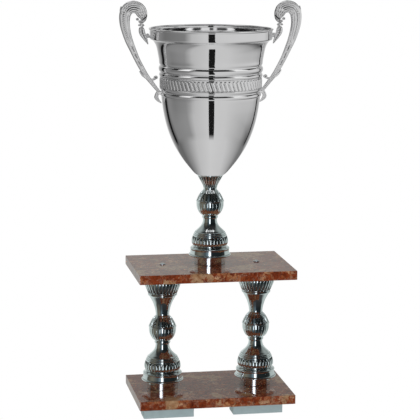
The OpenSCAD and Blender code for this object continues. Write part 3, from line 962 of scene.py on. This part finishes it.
def arm_relief(k, t, length):
    """t is 1 at the inner edge and -1 at the outer edge; k counts the line's points."""
    arch = ramp01(k, 8.6, 10.2)
    upper = ramp01(k, 5.2, 6.4) * (1 - arch)
    lower = 1 - ramp01(k, 5.2, 6.4)
    reeds = strand((t + 1) / 2, 6)
    shell = ramp01(k, 11.6, 12.8)
    rope_at = -0.28
    rope = np.sqrt(np.clip(1 - ((t - rope_at) / 0.26) ** 2, 0, 1)) * strand(length / 3.3 - 0.9 * t, 1)
    rope_zone = window(t, rope_at - 0.28, rope_at + 0.28, 0.03)
    outer_roll = np.sqrt(np.clip(1 - ((t + 0.8) / 0.26) ** 2, 0, 1))
    rolls = np.where(t < rope_at, outer_roll, strand((t - 0.02) / 0.96, 2))
    up_level = rope_zone * (0.3 + 0.7 * rope) + (1 - rope_zone) * (0.25 + 0.75 * rolls)
    slot_at = window(k, 3.1, 5.6, 0.25) * notch(t, 0.05, 0.2)
    slots = slot_at * strand(length / 13.0 + 0.5 * t, 1)
    ridge = strand((t + 1) / 2, 3)
    low_level = (0.55 + 0.45 * ridge) * (1 - slots)
    folds = strand((t + 1) / 2 + 0.03 * np.sin(length / 2.2), 5)
    folds = folds * (0.55 + 0.45 * strand(length / 5.5 + 0.6 * t, 1))
    arch_level = (1 - shell) * reeds + shell * folds
    # level is painted shade: dark in the grooves between reeds, rolls and folds, in the slots and in the cut
    level = arch * arch_level + upper * up_level + lower * low_level
    height = arch * 1.3 * (arch_level - 1) + upper * 1.4 * (up_level - 1)
    height = height + lower * (0.7 * (ridge - 1) - 1.7 * slots)
    cut = notch(k, 14.05 + 0.5 * t, 0.13) * (t < 0.35)
    return height - 2.4 * cut, np.clip(level * (1 - cut), 0, 1)


def leaf_relief(k, t, length):
    vein = notch(t, 0, 0.16)
    ribs = strand(length / 4.6 - 0.55 * np.abs(t), 1)
    # the level sets the leaf's height and its painted shade, dark in the vein and between the ribs
    level = (0.35 + 0.65 * ribs) * (1 - vein)
    return 1.5 * (level - 1) + 0.5, np.clip(level, 0, 1)


def plain_relief(k, t, length):
    groove = notch(t, 0, 0.3)
    # painted shade in the groove
    return -0.6 * groove, 1 - 0.6 * groove


BEADS = [((121.0, 0, 255.6), (2.7, 3.6, 2.3), 0.5, 0.3), ((117.0, 0, 251.6), (2.6, 4.2, 2.3), 0.9, 0.3),
         ((117.4, 0, 246.4), (2.6, 4.4, 2.0), -0.3, 0.3), ((112.2, 0, 246.2), (2.5, 4.4, 2.3), 0.4, 0.3),
         ((115.2, 0, 248.0), (2.2, 3.6, 2.0), 0.0, 0.0)]


def build_handle():
    s = Solid()
    arm_depth = [3.4, 3.4, 3.4, 3.7, 4.2, 4.9, 5.4] + [5.2] * 7 + [4.4, 2.6]
    s.ribbon(ARM, ARM_WIDTH, arm_depth, arm_relief, 28, 120)
    s.ribbon(LEAF, LEAF_WIDTH, [3.4, 4.8, 5, 4.2, 3.2, 1.4], leaf_relief, 24, 80)
    s.ribbon(TAIL, TAIL_WIDTH, [3.2, 3.4, 3.4, 2.6, 1.0], plain_relief, 14, 48)
    s.ribbon(SIDE_CURL, SIDE_CURL_WIDTH, [2.4, 2.2, 2.4], plain_relief, 14, 40)
    for centre, radii, tilt, dimple in BEADS:
        s.ball(centre, radii, tilt, dimple)
    # the leaf's side shoot and its bud
    s.ribbon([[112.4, 232.4], [108.6, 229.8], [104.6, 227.9], [100.6, 227.5]], [3.4, 3.2, 3.4, 4.4],
             [2.6, 2.6, 2.8, 3.2], plain_relief, 10, 40)
    s.ball((104.4, 0, 230.6), (2.7, 3.0, 2.3), 0.6, 0.3)
    # the side curl's knob and its tendril
    s.ball((91.2, 0, 161.4), (3.5, 3.6, 3.1), 0.0, 0.35)
    s.ribbon([[100.2, 156.6], [97.4, 154.6], [94.0, 154.4]], [2.6, 2.2, 0.6], [2.0, 1.8, 0.6], None, 10, 32)
    # the tail's knob
    s.ball((90.6, 0, 129.6), (3.1, 3.5, 3.1), 0.0, 0.35)
    # the step on the lower arm, the tip on the arch and the pad on the bowl
    s.ribbon([[106.6, 160.4], [112.2, 165.6], [117.4, 171.6]], [3.4, 4.6, 2.2], [2.8, 3.2, 1.6],
             None, 10, 36)
    s.ribbon([[144.6, 262.0], [147.4, 269.6], [147.6, 276.6]], [6.4, 5.0, 1.2], [4.2, 3.2, 1.0],
             None, 10, 36)
    s.ribbon([[80.6, 136.5], [87.6, 136.5]], [6.4, 6.4], [3.2, 3.2], None, 6, 40)
    return s


shape = build_handle()
points = np.vstack(shape.verts)
handles = []
for side, name in ((1, "handle_right"), (-1, "handle_left")):
    verts = np.column_stack([side * points[:, 0] * MM, points[:, 1] * MM, bowl_foot + points[:, 2] * MM])
    faces = shape.faces if side > 0 else [tuple(reversed(f)) for f in shape.faces]
    piece = add_mesh(name + "_scroll", verts, faces, HANDLE, np.concatenate(shape.level), 70.0)
    handles.append(place_piece(piece, "handle_silver", name))

# ---------- carried-over CAD nodes ----------

steel_pieces = [obj for obj in nodes.values() if not obj.hide_render]
for obj in steel_pieces:
    obj.data.materials.clear()
    obj.data.materials.append(STEEL)

# ---------- light ----------

CASTING_LAMP = (0.0, 0.21, (2.3, 2.45, 2.55), 0.5)
STONE_LAMP = (-0.13, 0.3, (8.0, 8.5, 9.4), 0.34)
LOW_LIGHT = UP * 0.12
RING_INNER, RING_OUTER, RING_GAP = 0.0225, 0.15, 0.0004      # the gap is below the bowl

dome("bowl_room", 20.0, [bowl, band] + handles, bowl_room)
dome("casting_room", 21.0, chrome_pieces + foot_pieces + steel_pieces, base_room, CASTING_LAMP, 1.0)
dome("stone_room", 22.0, stone_pieces + discs, base_room, STONE_LAMP, 0.84)
add_reflector(RING_INNER, RING_OUTER, bowl_foot - RING_GAP)
add_sun("key", 1.4, 8, TO_CAMERA - RIGHT * 0.1 + LOW_LIGHT)
add_sun("back", 0.8, 20, RIGHT * 0.3 - TO_CAMERA + LOW_LIGHT)
add_sun("above", 0.4, 30, UP)
add_world()
add_floor()
scene.view_settings.view_transform = "Standard"

low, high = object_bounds()
